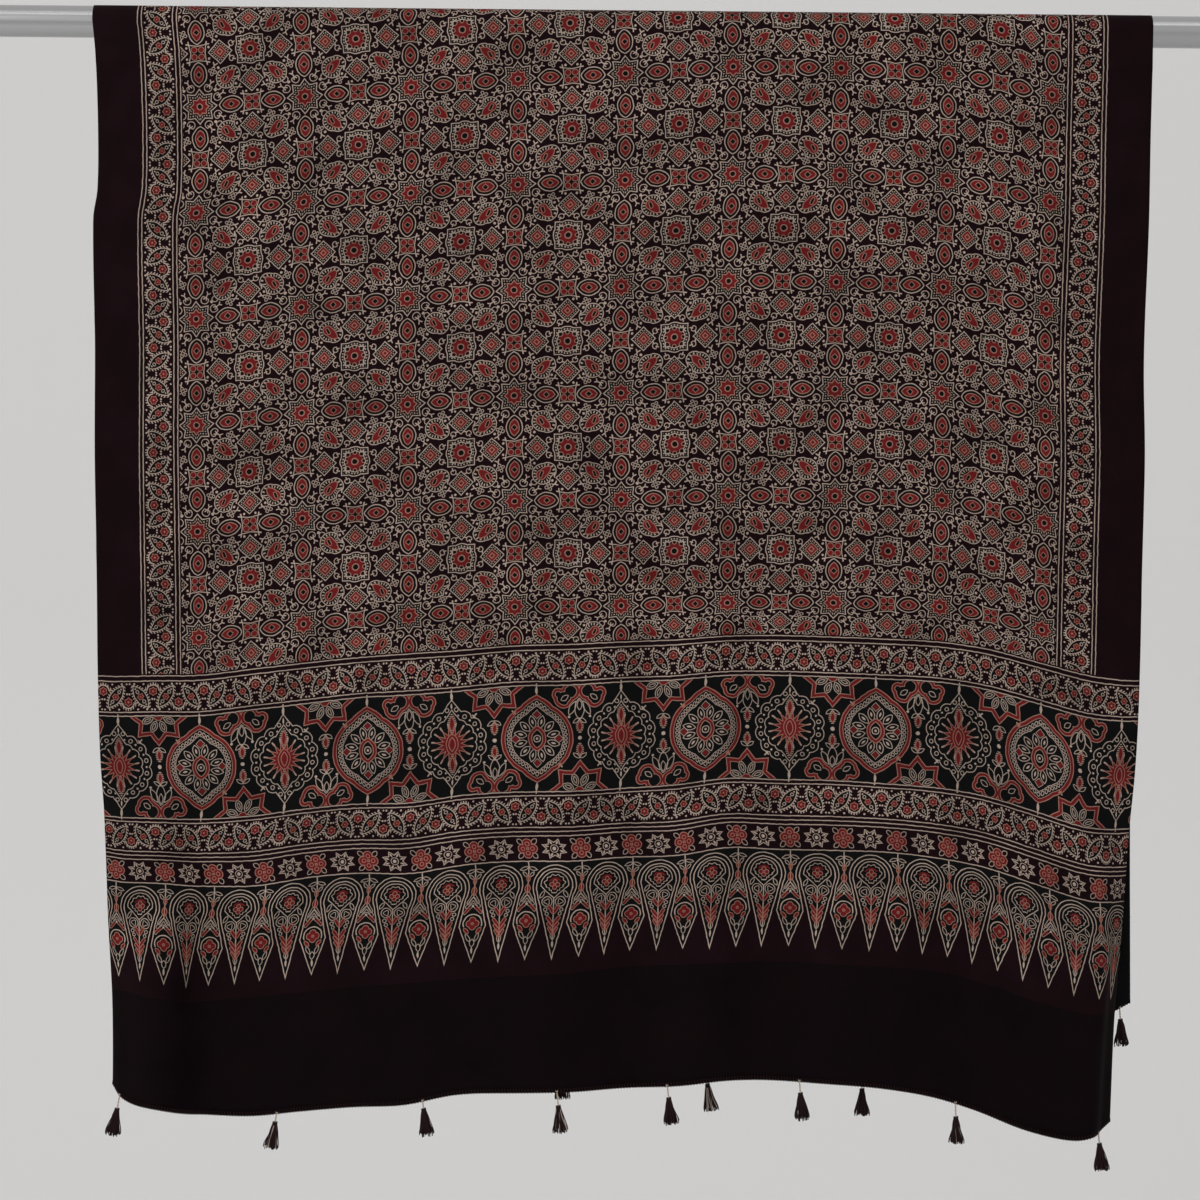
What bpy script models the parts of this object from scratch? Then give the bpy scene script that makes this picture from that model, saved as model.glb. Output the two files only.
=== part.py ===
"""Printed cotton shawl with tied tassels, folded over a plain steel rod.

The rod lies along X with its axis through the origin, +Z is up and the shawl's printed front faces -Y.
Lengths in the tables are in millimetres. MM turns them into metres.
"""

import math

import bmesh
import bpy

MM = 0.001

# The rod: a plain round tube closed by its end caps.
ROD_DIAMETER = 31.75 * MM
ROD_LENGTH = 1400.0 * MM
ROD_SIDES = 48
ROD_EDGE = 1.0 * MM

# The cloth: one sheet, folded over the rod and hanging down in front and behind.
CLOTH_WIDTH = 1060.0
CLOTH_THICKNESS = 1.5 * MM
ROD_GAP = 0.8 * MM
WRAP_RADIUS = ROD_DIAMETER / 2 + ROD_GAP + CLOTH_THICKNESS / 2
WRAP_CELLS = 10
FRONT_CELLS = 20
BACK_CELLS = 14

# How finely the sheet is divided across its width: more cells where the tight folds are.
COLUMN_BANDS = (
    # from, to, cells
    (0.0, 140.0, 10),
    (140.0, 1000.0, 26),
    (1000.0, 1060.0, 5),
)

# How far each hem hangs below the rod's axis. The cloth has slid round the rod, so one rises as the other falls.
HEM_COLUMNS = ("across", "front", "back")
HEMS = (
    (0, 1066, 1015),
    (20, 1080, 1020),
    (60, 1088, 1019),
    (140, 1099, 1014),
    (250, 1087, 1026),
    (320, 1083, 1030),
    (380, 1071, 1040),
    (470, 1068, 1044),
    (590, 1062, 1050),
    (640, 1056, 1056),
    (760, 1058, 1055),
    (815, 1062, 1050),
    (880, 1077, 1036),
    (960, 1104, 1008),
    (1005, 1111, 1000),
    (1040, 1104, 988),
    (1060, 1096, 979),
)

# Where the side edges of each layer hang, at each depth below the rod's axis.
EDGE_COLUMNS = ("drop", "front_left", "front_right", "back_left", "back_right")
EDGES = (
    (0, -531, 530.5, -531, 530.5),
    (40, -527, 530, -527, 528),
    (110, -524, 528.8, -521, 525),
    (170, -524, 528.4, -519, 524),
    (200, -528, 528, -518, 523),
    (330, -525, 524.3, -515, 520),
    (430, -524.3, 526.2, -512, 520),
    (540, -521.5, 524.5, -510, 519),
    (660, -518.8, 523, -507, 520),
    (740, -515.5, 520.5, -505, 522),
    (800, -511, 516, -503, 522),
    (900, -507, 511, -499, 523),
    (990, -502, 504.7, -495, 524),
    (1111, -501, 500.5, -492, 524),
)

# Soft folds that run down each layer. Each begins at one depth, is full at another, and stands out by `out`.
FOLD_COLUMNS = ("across", "begins", "full", "out")
FRONT_FOLDS = (
    (0, 700, 1000, -6),
    (14, 600, 1000, 3),
    (60, 640, 980, 17),
    (118, 640, 980, -16),
    (190, 300, 1000, -7),
    (300, 200, 1000, 1),
    (390, 150, 1000, 4),
    (480, 60, 1000, 10),
    (550, 60, 1000, -9),
    (620, 60, 1000, 6),
    (690, 60, 1000, -9),
    (800, 60, 1000, 9),
    (900, 100, 1000, -8),
    (980, 300, 1000, 2),
    (1022, 640, 950, 8),
    (1048, 640, 950, -11),
    (1060, 640, 950, -20),
)
BACK_FOLDS = (
    (0, 150, 900, 8),
    (120, 150, 900, 11),
    (260, 150, 900, -4),
    (420, 150, 900, 6),
    (560, 150, 900, 10),
    (680, 150, 900, 2),
    (820, 150, 900, -6),
    (930, 150, 900, 9),
    (1010, 150, 900, 3),
    (1060, 150, 900, 11),
)

# Small buckles where the front has caught on its way down.
BUCKLE_COLUMNS = ("across", "drop", "half_across", "half_drop", "out")
BUCKLES = (
    (40, 815, 55, 48, 7),
    (52, 868, 48, 40, -6),
    (104, 850, 52, 66, -6),
)

# The tassels: where each is tied to its hem, its tie's length, and how far its foot swings sideways.
TASSEL_COLUMNS = ("across", "tie", "swing")
FRONT_TASSELS = (
    (13, 13, -10),
    (191, 8, -9),
    (339, 7, 8),
    (473, 13, 6),
    (586, 11, 7),
    (721, 11, 5),
    (881, 13, 2),
    (1036, 10, 6),
)
BACK_TASSELS = (
    (12, 10, 3),
    (150, 11, -4),
    (318, 9, 4),
    (459, 11, 5),
    (610, 13, 9),
    (771, 12, 0),
    (905, 10, -3),
    (1048, 11, 4),
)
TASSEL_SIDES = 8
TASSEL_FLATTEN = 0.7
TASSEL_GAP = 0.5 * MM
TIE_RADIUS = 0.8
# Outline of a tassel's skein, from its neck down to its cut foot.
SKEIN_COLUMNS = ("below_neck", "radius")
SKEIN = (
    (0.0, 1.6),
    (3.0, 2.8),
    (12.0, 5.0),
    (23.0, 8.6),
    (27.0, 7.6),
)

COLOURS = {
    # name: (colour, roughness, metallic)
    "printed_cloth": ((0.012, 0.003, 0.005), 0.85, 0.0),
    "rod_steel": ((0.62, 0.61, 0.60), 0.18, 1.0),
    "tassel_thread": ((0.020, 0.004, 0.008), 0.9, 0.0),
}


def clear_scene():
    for item in list(bpy.data.objects):
        bpy.data.objects.remove(item, do_unlink=True)


def make_collection(name):
    collection = bpy.data.collections.new(name)
    bpy.context.scene.collection.children.link(collection)
    return collection


def make_material(name):
    colour, roughness, metallic = COLOURS[name]
    material = bpy.data.materials.new(name)
    material.use_nodes = True
    shader = material.node_tree.nodes["Principled BSDF"]
    shader.inputs["Base Color"].default_value = (*colour, 1.0)
    shader.inputs["Roughness"].default_value = roughness
    shader.inputs["Metallic"].default_value = metallic
    material.diffuse_color = (*colour, 1.0)
    return material


def column(rows, names, name):
    """One named column of a table."""
    place = names.index(name)
    return [row[place] for row in rows]


def soft_step(low, high, value):
    """0 below low, 1 above high, and a smooth rise between them."""
    share = min(max((value - low) / (high - low), 0.0), 1.0)
    return share * share * (3.0 - 2.0 * share)


def smooth_curve(places, heights, at):
    """Height at one place on a smooth curve through the given points, level beyond both ends."""
    if at <= places[0]:
        return heights[0]
    if at >= places[-1]:
        return heights[-1]
    last = len(places) - 1
    i = max(k for k in range(last) if places[k] <= at)
    span = places[i + 1] - places[i]
    share = (at - places[i]) / span

    def slope(k):
        before, after = max(k - 1, 0), min(k + 1, last)
        return (heights[after] - heights[before]) / (places[after] - places[before])

    rise = heights[i + 1] - heights[i]
    start, end = slope(i) * span, slope(i + 1) * span
    return heights[i] + share * (start + share * (3 * rise - 2 * start - end + share * (start + end - 2 * rise)))


def look_up(rows, names, name, at):
    """A named column of a table, read along the table's first column."""
    return smooth_curve(column(rows, names, names[0]), column(rows, names, name), at)


def fold_out(folds, across, drop):
    """How far a layer stands away from its straight fall, in millimetres."""
    places = column(folds, FOLD_COLUMNS, "across")
    heights = [out * soft_step(begins, full, drop) for _, begins, full, out in folds]
    return smooth_curve(places, heights, across)


def buckle_out(across, drop):
    total = 0.0
    for centre_across, centre_drop, half_across, half_drop, out in BUCKLES:
        far = math.hypot((across - centre_across) / half_across, (drop - centre_drop) / half_drop)
        if far < 1.0:
            total += out * math.cos(far * math.pi / 2) ** 2
    return total


def column_stations():
    """Places across the cloth where its grid has a line."""
    stations = [COLUMN_BANDS[0][0]]
    for start, end, cells in COLUMN_BANDS:
        stations += [start + (end - start) * (k + 1) / cells for k in range(cells)]
    return stations


def hanging_row(side, share, stations):
    """Points of one row of a hanging layer, `share` of the way from the rod down to the hem."""
    front = side == "front"
    folds = FRONT_FOLDS if front else BACK_FOLDS
    drops = [share * look_up(HEMS, HEM_COLUMNS, side, across) for across in stations]
    outs = []
    for across, drop in zip(stations, drops):
        out = fold_out(folds, across, drop)
        if front:
            out += buckle_out(across, drop)
        outs.append(out)

    # The cloth keeps its width along the folds, so it draws in where it swings to and fro.
    run = [0.0]
    for k in range(1, len(stations)):
        length = stations[k] - stations[k - 1]
        swing = outs[k] - outs[k - 1]
        run.append(run[-1] + math.sqrt(max(length ** 2 - swing ** 2, (0.4 * length) ** 2)))

    points = []
    for k, drop in enumerate(drops):
        left = look_up(EDGES, EDGE_COLUMNS, side + "_left", drop)
        right = look_up(EDGES, EDGE_COLUMNS, side + "_right", drop)
        x = (left + (right - left) * run[k] / run[-1]) * MM
        y = WRAP_RADIUS + outs[k] * MM
        points.append((x, -y if front else y, -drop * MM))
    return points


def wrap_row(angle, stations):
    """Points of one row where the cloth bends over the rod. Angle 0 is at the front."""
    left = look_up(EDGES, EDGE_COLUMNS, "front_left", 0.0)
    right = look_up(EDGES, EDGE_COLUMNS, "front_right", 0.0)
    y, z = -WRAP_RADIUS * math.cos(angle), WRAP_RADIUS * math.sin(angle)
    return [((left + (right - left) * across / CLOTH_WIDTH) * MM, y, z) for across in stations]


def cloth_rows(stations):
    """Every row of the sheet, from the front hem over the rod to the back hem."""
    rows = [hanging_row("front", 1.0 - k / FRONT_CELLS, stations) for k in range(FRONT_CELLS)]
    rows += [wrap_row(math.pi * k / WRAP_CELLS, stations) for k in range(WRAP_CELLS + 1)]
    rows += [hanging_row("back", (k + 1) / BACK_CELLS, stations) for k in range(BACK_CELLS)]
    return rows


def link_object(name, data, collection, holder, material):
    piece = bpy.data.objects.new(name, data)
    collection.objects.link(piece)
    piece.parent = holder
    piece.data.materials.append(material)
    return piece


def make_rod(collection, holder):
    bpy.ops.mesh.primitive_cylinder_add(
        vertices=ROD_SIDES, radius=ROD_DIAMETER / 2, depth=ROD_LENGTH, rotation=(0, math.pi / 2, 0)
    )
    rod = bpy.context.object
    rod.name = "rod"
    for owner in list(rod.users_collection):
        owner.objects.unlink(rod)
    collection.objects.link(rod)
    rod.parent = holder
    rod.data.materials.append(make_material("rod_steel"))
    edge = rod.modifiers.new("end_edges", "BEVEL")
    edge.width = ROD_EDGE
    edge.segments = 1
    edge.limit_method = "ANGLE"
    rod.data.shade_smooth()
    rod.data.set_sharp_from_angle(angle=math.radians(40))


def make_cloth(collection, holder):
    stations = column_stations()
    rows = cloth_rows(stations)
    across_cells, along_cells = len(stations) - 1, len(rows) - 1

    sheet = bmesh.new()
    bmesh.ops.create_grid(sheet, x_segments=across_cells, y_segments=along_cells, size=1.0)
    for vertex in sheet.verts:
        i = round((vertex.co.x + 1.0) / 2.0 * across_cells)
        j = round((vertex.co.y + 1.0) / 2.0 * along_cells)
        vertex.co = rows[j][i]
    bmesh.ops.recalc_face_normals(sheet, faces=sheet.faces)
    mesh = bpy.data.meshes.new("cloth")
    sheet.to_mesh(mesh)
    sheet.free()

    cloth = link_object("cloth", mesh, collection, holder, make_material("printed_cloth"))
    thickness = cloth.modifiers.new("thickness", "SOLIDIFY")
    thickness.thickness = CLOTH_THICKNESS
    thickness.offset = 0.0
    mesh.shade_smooth()
    mesh.set_sharp_from_angle(angle=math.radians(50))


def tassel_profile(tie):
    """Outline of a tie and its skein, from the axis at the top to the axis at the foot."""
    foot = tie + SKEIN[-1][0]
    outline = [(0.0, 0.0), (TIE_RADIUS, 0.0), (TIE_RADIUS, -tie + 1.0)]
    outline += [(radius, -tie - below) for below, radius in SKEIN]
    outline.append((0.0, -foot))
    return outline


def make_tassel(name, collection, holder, material, tie, swing):
    profile = bmesh.new()
    corners = [profile.verts.new((radius * MM, 0.0, z * MM)) for radius, z in tassel_profile(tie)]
    for k in range(len(corners) - 1):
        profile.edges.new((corners[k], corners[k + 1]))
    mesh = bpy.data.meshes.new(name)
    profile.to_mesh(mesh)
    profile.free()

    tassel = link_object(name, mesh, collection, holder, material)
    turn = tassel.modifiers.new("turned", "SCREW")
    turn.steps = TASSEL_SIDES
    turn.render_steps = TASSEL_SIDES
    turn.use_merge_vertices = True
    turn.merge_threshold = 0.00001
    length = tie + SKEIN[-1][0]
    tassel.rotation_euler = (0.0, -math.asin(swing / length), 0.0)
    tassel.scale = (1.0, TASSEL_FLATTEN, 1.0)
    return tassel


def make_tassels(side, table, collection, holder, material):
    stations = column_stations()
    hem = hanging_row(side, 1.0, stations)
    for number, (across, tie, swing) in enumerate(table, start=1):
        tassel = make_tassel(f"tassel_{side}_{number}", collection, holder, material, tie, swing)
        x, y, z = (smooth_curve(stations, [point[axis] for point in hem], across) for axis in range(3))
        lowest = min(point[2] for place, point in zip(stations, hem) if abs(place - across) < 30.0)
        tassel.location = (x, y, min(z, (z + lowest) / 2) - TASSEL_GAP)


def main():
    clear_scene()
    collection = make_collection("shawl_on_rod")
    holder = bpy.data.objects.new("hanging_point", None)
    collection.objects.link(holder)

    make_rod(collection, holder)
    make_cloth(collection, holder)
    thread = make_material("tassel_thread")
    make_tassels("front", FRONT_TASSELS, collection, holder, thread)
    make_tassels("back", BACK_TASSELS, collection, holder, thread)


main()
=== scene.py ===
# %% [markdown]
# # An ajrakh shawl over a rod
# The real thing is one length of soft cotton, block printed on its face, hemmed all round and hung
# with sixteen small tassels. It is folded over a bright steel rod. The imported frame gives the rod, the
# sheet's solid and the tassels' solids. This script gives them their looks: a thin sheet with its folds
# and its print, the stitched hems, tied tassels of real strands, and the metal of the rod.

# %% Load the frame and keep its box
import math
import random

import bpy
import numpy as np
from mathutils import Matrix, Vector


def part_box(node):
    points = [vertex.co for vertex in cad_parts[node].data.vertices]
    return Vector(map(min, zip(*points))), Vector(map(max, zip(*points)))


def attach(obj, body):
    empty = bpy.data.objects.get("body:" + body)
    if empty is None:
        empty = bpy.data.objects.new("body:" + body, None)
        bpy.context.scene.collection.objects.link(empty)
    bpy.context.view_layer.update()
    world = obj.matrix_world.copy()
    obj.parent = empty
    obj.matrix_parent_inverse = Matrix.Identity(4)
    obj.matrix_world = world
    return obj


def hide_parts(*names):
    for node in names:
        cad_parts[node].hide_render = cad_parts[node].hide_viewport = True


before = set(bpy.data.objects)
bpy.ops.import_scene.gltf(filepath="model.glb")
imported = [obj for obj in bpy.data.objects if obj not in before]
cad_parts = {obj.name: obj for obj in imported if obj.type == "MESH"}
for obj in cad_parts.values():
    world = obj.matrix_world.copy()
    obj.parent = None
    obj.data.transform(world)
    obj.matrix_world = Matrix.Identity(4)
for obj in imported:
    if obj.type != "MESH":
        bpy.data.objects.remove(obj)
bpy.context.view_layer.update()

bpy.ops.object.select_all(action="DESELECT")

# %% [markdown]
# Lengths are written in millimetres, as a maker would, and MM turns them into metres. The rod lies
# along X, so its own box gives the radius that the cloth bends over.

# %% Driving sizes
MM = 0.001
CLOTH_WIDTH = 1060.0
CLOTH_THICKNESS = 0.45
rod_low, rod_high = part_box("rod")
ROD_RADIUS = (rod_high.z - rod_low.z) / 2 / MM
BEND_RADIUS = ROD_RADIUS + 0.7
BEND_LENGTH = math.pi * BEND_RADIUS
print("rod radius", round(ROD_RADIUS, 2), "mm, so the cloth bends over", round(BEND_LENGTH, 1), "mm")

# %% [markdown]
# ## The camera
# The camera looks straight at the printed face, level with the middle of the cloth, and leans by half a
# degree, so that the rod falls a little to the right. It could be placed by hand, but its lens is
# worked out from how much of the cloth's plane it has to cover.

# %% Camera
CAMERA_AIM = Vector((-17.4, -17.0, -576.3)) * MM
CAMERA_DISTANCE = 3.2
VIEW_WIDTH = 1.2
CAMERA_LEAN = math.radians(0.56)

bpy.ops.object.camera_add(location=CAMERA_AIM - Vector((0, CAMERA_DISTANCE, 0)))
camera = bpy.context.object
camera.name = "camera"
level_view = Matrix.Rotation(math.radians(90), 3, "X")
camera.rotation_euler = (level_view @ Matrix.Rotation(CAMERA_LEAN, 3, "Z")).to_euler()
camera.data.angle = 2 * math.atan(VIEW_WIDTH / 2 / CAMERA_DISTANCE)
camera.data.clip_end = 60
bpy.context.scene.camera = camera
print("lens angle", round(math.degrees(camera.data.angle), 2), "degrees")

# %% [markdown]
# ## The stage and the light
# A pale sweep stands far behind and runs out as a floor below, so nothing is near enough to colour the
# cloth. Light comes from all round, with one broad lamp high on the left that models the folds. A
# smaller lamp above gives the rod its bright line. Two planes would leave a corner, so the sweep is one
# plane with its back edge extruded up and the fold between them bevelled.

# %% Stage
FLOOR_DROP = 2.2
SWEEP_BACK = 4.6
SWEEP_HALF_WIDTH = 9.0

bpy.ops.mesh.primitive_plane_add(size=2, location=(0, SWEEP_BACK - SWEEP_HALF_WIDTH, -FLOOR_DROP))
sweep = bpy.context.object
sweep.name = "sweep"
sweep.scale = (SWEEP_HALF_WIDTH, SWEEP_HALF_WIDTH, 1)
bpy.ops.object.transform_apply(location=True, rotation=True, scale=True)
bpy.ops.object.mode_set(mode="EDIT")
bpy.ops.mesh.select_mode(type="EDGE")
bpy.ops.mesh.select_all(action="DESELECT")
bpy.ops.object.mode_set(mode="OBJECT")
for edge in sweep.data.edges:
    edge.select = all(sweep.data.vertices[k].co.y > SWEEP_BACK - 0.01 for k in edge.vertices)
bpy.ops.object.mode_set(mode="EDIT")
bpy.ops.mesh.extrude_region_move(TRANSFORM_OT_translate={"value": (0, 0, 7)})
bpy.ops.mesh.select_all(action="DESELECT")
bpy.ops.object.mode_set(mode="OBJECT")
for edge in sweep.data.edges:
    ends = [sweep.data.vertices[k].co for k in edge.vertices]
    edge.select = all(end.y > SWEEP_BACK - 0.01 and end.z < 0.01 - FLOOR_DROP for end in ends)
bpy.ops.object.mode_set(mode="EDIT")
bpy.ops.mesh.bevel(offset=1.6, segments=16, affect="EDGES")
bpy.ops.object.mode_set(mode="OBJECT")
bpy.ops.object.shade_smooth()
print("sweep faces:", len(sweep.data.polygons))

# %% Stage paint
sweep_paint = bpy.data.materials.new("pale_sweep")
sweep_paint.use_nodes = True
paint_shader = sweep_paint.node_tree.nodes["Principled BSDF"]
paint_shader.inputs["Base Color"].default_value = (0.80, 0.795, 0.79, 1)
paint_shader.inputs["Roughness"].default_value = 0.9
paint_shader.inputs["Specular IOR Level"].default_value = 0.1
sweep.data.materials.append(sweep_paint)

# %% Lamps and sky
def soft_lamp(name, place, aim, width, height, watts):
    """A broad rectangular lamp that faces a point."""
    bpy.ops.object.light_add(type="AREA", location=place)
    lamp = bpy.context.object
    lamp.name = name
    lamp.data.shape = "RECTANGLE"
    lamp.data.size = width
    lamp.data.size_y = height
    lamp.data.energy = watts
    lamp.rotation_euler = (Vector(aim) - Vector(place)).to_track_quat("-Z", "Y").to_euler()
    return lamp


soft_lamp("key_lamp", (-2.6, -3.0, 0.9), (0, 0, -0.6), 1.8, 1.8, 62)
soft_lamp("rod_lamp", (0.0, -1.6, 2.2), (0, 0, 0), 3.2, 0.35, 10)
sky = bpy.data.worlds.new("studio_air")
bpy.context.scene.world = sky
sky.use_nodes = True
sky.node_tree.nodes["Background"].inputs["Color"].default_value = (0.975, 0.972, 0.97, 1)
sky.node_tree.nodes["Background"].inputs["Strength"].default_value = 0.72
bpy.context.scene.view_settings.view_transform = "Standard"

# %% [markdown]
# ## How the sheet hangs
# The sheet is the same one as the imported solid: the same hems, side edges, folds and buckles, read from
# short tables. A cloth simulation would give other folds than this shawl has, so the folds are placed
# one by one. Tables are read through one smooth curve, all places at once.

# %% Reading a table along a smooth curve
def smooth_curve(places, heights, at):
    """Heights on a smooth curve through a table, level beyond its ends. Each place may have its own heights."""
    places, heights, at = (np.asarray(values, float) for values in (places, heights, at))
    if heights.ndim == 1:
        heights = np.repeat(heights[:, None], at.size, axis=1)
    last = len(places) - 1
    i = np.clip(np.searchsorted(places, at, side="right") - 1, 0, last - 1)
    own = np.arange(at.size)
    span = places[i + 1] - places[i]
    share = np.clip((at - places[i]) / span, 0, 1)

    def slope(k):
        before, after = np.maximum(k - 1, 0), np.minimum(k + 1, last)
        return (heights[after, own] - heights[before, own]) / (places[after] - places[before])

    rise = heights[i + 1, own] - heights[i, own]
    start, end = slope(i) * span, slope(i + 1) * span
    bend = 3 * rise - 2 * start - end + share * (start + end - 2 * rise)
    return heights[i, own] + share * (start + share * bend)


def column(table, number):
    return [row[number] for row in table]


def soft_step(low, high, value):
    """0 below low, 1 above high, and a smooth rise between them."""
    share = np.clip((value - low) / (high - low), 0, 1)
    return share * share * (3 - 2 * share)


# %% Hems, side edges, folds and buckles
BACK_HEM = (
    # across, hem below the rod's axis
    (0, 1015), (20, 1020), (60, 1019), (140, 1014), (250, 1026), (320, 1030), (380, 1040), (470, 1044), (590, 1050),
    (640, 1056), (760, 1055), (815, 1050), (880, 1036), (960, 1008), (1005, 1000), (1040, 988), (1060, 979),
)
EDGES = (
    # drop, front left, front right, back left, back right
    (0, -531, 530.5, -531, 530.5),
    (40, -527, 530, -527, 528),
    (110, -524, 528.8, -521, 525),
    (170, -524, 528.4, -519, 524),
    (200, -528, 528, -518, 523),
    (330, -525, 524.3, -515, 520),
    (430, -524.3, 526.2, -512, 520),
    (540, -521.5, 524.5, -510, 519),
    (660, -518.8, 523, -507, 520),
    (740, -515.5, 520.5, -505, 522),
    (800, -511, 516, -503, 522),
    (900, -507, 511, -499, 523),
    (990, -502, 504.7, -495, 524),
    (1111, -501, 500.5, -492, 524),
)
FRONT_FOLDS = (
    # across, begins at, full at, stands out by
    (0, 700, 1000, -6),
    (14, 600, 1000, 3),
    (60, 640, 980, 17),
    (118, 640, 980, -16),
    (190, 300, 1000, -7),
    (300, 200, 1000, 1),
    (390, 150, 1000, 4),
    (480, 60, 1000, 10),
    (550, 60, 1000, -9),
    (620, 60, 1000, 6),
    (690, 60, 1000, -9),
    (800, 60, 1000, 9),
    (900, 100, 1000, -8),
    (980, 300, 1000, 2),
    (1022, 640, 950, 8),
    (1048, 640, 950, -11),
    (1060, 640, 950, -20),
)
BACK_FOLDS = tuple((across, 150, 900, out) for across, out in (
    (0, 8), (120, 11), (260, -4), (420, 6), (560, 10), (680, 2), (820, -6), (930, 9), (1010, 3), (1060, 11),
))
BUCKLES = (
    # across, drop, half across, half drop, stands out by
    (40, 815, 55, 48, 7),
    (52, 868, 48, 40, -6),
    (104, 850, 52, 66, -6),
)


# %% Points of the hanging layers
def fold_out(folds, across, drop):
    heights = [out * soft_step(begins, full, drop) for _, begins, full, out in folds]
    return smooth_curve(column(folds, 0), heights, across)


def buckle_out(across, drop):
    total = np.zeros_like(drop)
    for centre_across, centre_drop, half_across, half_drop, out in BUCKLES:
        far = np.hypot((across - centre_across) / half_across, (drop - centre_drop) / half_drop)
        total += out * np.cos(np.minimum(far, 1) * math.pi / 2) ** 2
    return total


def drawn_in(across, out):
    """How far along the row each place comes, once the folds have taken their share of the width."""
    length, swing = np.diff(across), np.diff(out)
    steps = np.sqrt(np.maximum(length ** 2 - swing ** 2, (0.4 * length) ** 2))
    run = np.concatenate([[0.0], np.cumsum(steps)])
    return run / run[-1]


def layer_points(side, across, drop):
    """Points in millimetres of one row of the front or the back, which may sag from column to column."""
    folds, edge = (FRONT_FOLDS, 1) if side == "front" else (BACK_FOLDS, 3)
    hanging = np.maximum(drop, 0)
    out = fold_out(folds, across, hanging) + ripple_out(side, across, hanging)
    if side == "front":
        out += buckle_out(across, hanging) + crease_out(across, hanging)
    left = smooth_curve(column(EDGES, 0), column(EDGES, edge), hanging)
    right = smooth_curve(column(EDGES, 0), column(EDGES, edge + 1), hanging)
    x = left + (right - left) * drawn_in(across, out)
    y = BEND_RADIUS + out
    return np.stack([x, -y if side == "front" else y, -drop], axis=1)


# %% [markdown]
# Folding for the shop left pressing creases straight across the cloth, and soft cotton never hangs
# quite flat between its folds. Both are low relief. They are part of the sheet's own shape here, since
# bump alone would be lost at the edges and in the exported mesh.

# %% Pressing creases and small ripples
CREASES = (
    # drop at the left edge, drop at the right edge, first place across, last place across, height
    (41, 37, -60, 1120, 0.9),
    (300, 318, -60, 210, 0.8),
    (532, 571, -60, 260, 0.8),
    (560, 576, 820, 1120, 0.9),
    (806, 800, 380, 700, 0.5),
)
CREASE_HALF_WIDTH = 6.0
RIPPLES = (
    # length across, length down, height, phase
    (173.0, 610.0, 0.55, 0.4),
    (97.0, 430.0, 0.40, 2.1),
    (58.0, 260.0, 0.22, 4.0),
    (310.0, 91.0, 0.18, 1.3),
)


def crease_out(across, drop):
    total = np.zeros_like(drop)
    for left_drop, right_drop, first, last, height in CREASES:
        middle = left_drop + (right_drop - left_drop) * across / CLOTH_WIDTH
        ends = soft_step(first, first + 60, across) * (1 - soft_step(last - 60, last, across))
        total += height * ends * np.exp(-((drop - middle) / CREASE_HALF_WIDTH) ** 2)
    return total


def ripple_out(side, across, drop):
    turn = 0.0 if side == "front" else 1.7
    total = np.zeros_like(drop)
    for across_length, down_length, height, phase in RIPPLES:
        lean = 0.35 * np.sin(across / 240.0 + phase)
        wave = 2 * math.pi * (across / across_length + drop / down_length)
        total += height * np.sin(wave + phase + turn + lean)
    return total * soft_step(10, 160, drop)


# %% [markdown]
# ## Where the print lies on the hanging cloth
# The print was made square to the cloth, but the cloth has slid and eased round the rod, so each
# printed row sags its own way. The sheet is therefore modelled in the print's own coordinates: `across`
# from the left hem and `along` from the first line of the end border, downwards at the front. A short
# table says how far below the rod each printed line hangs at each place across. Every row of the mesh
# then follows the print, and the borders between the materials are rows of the mesh.

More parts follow.
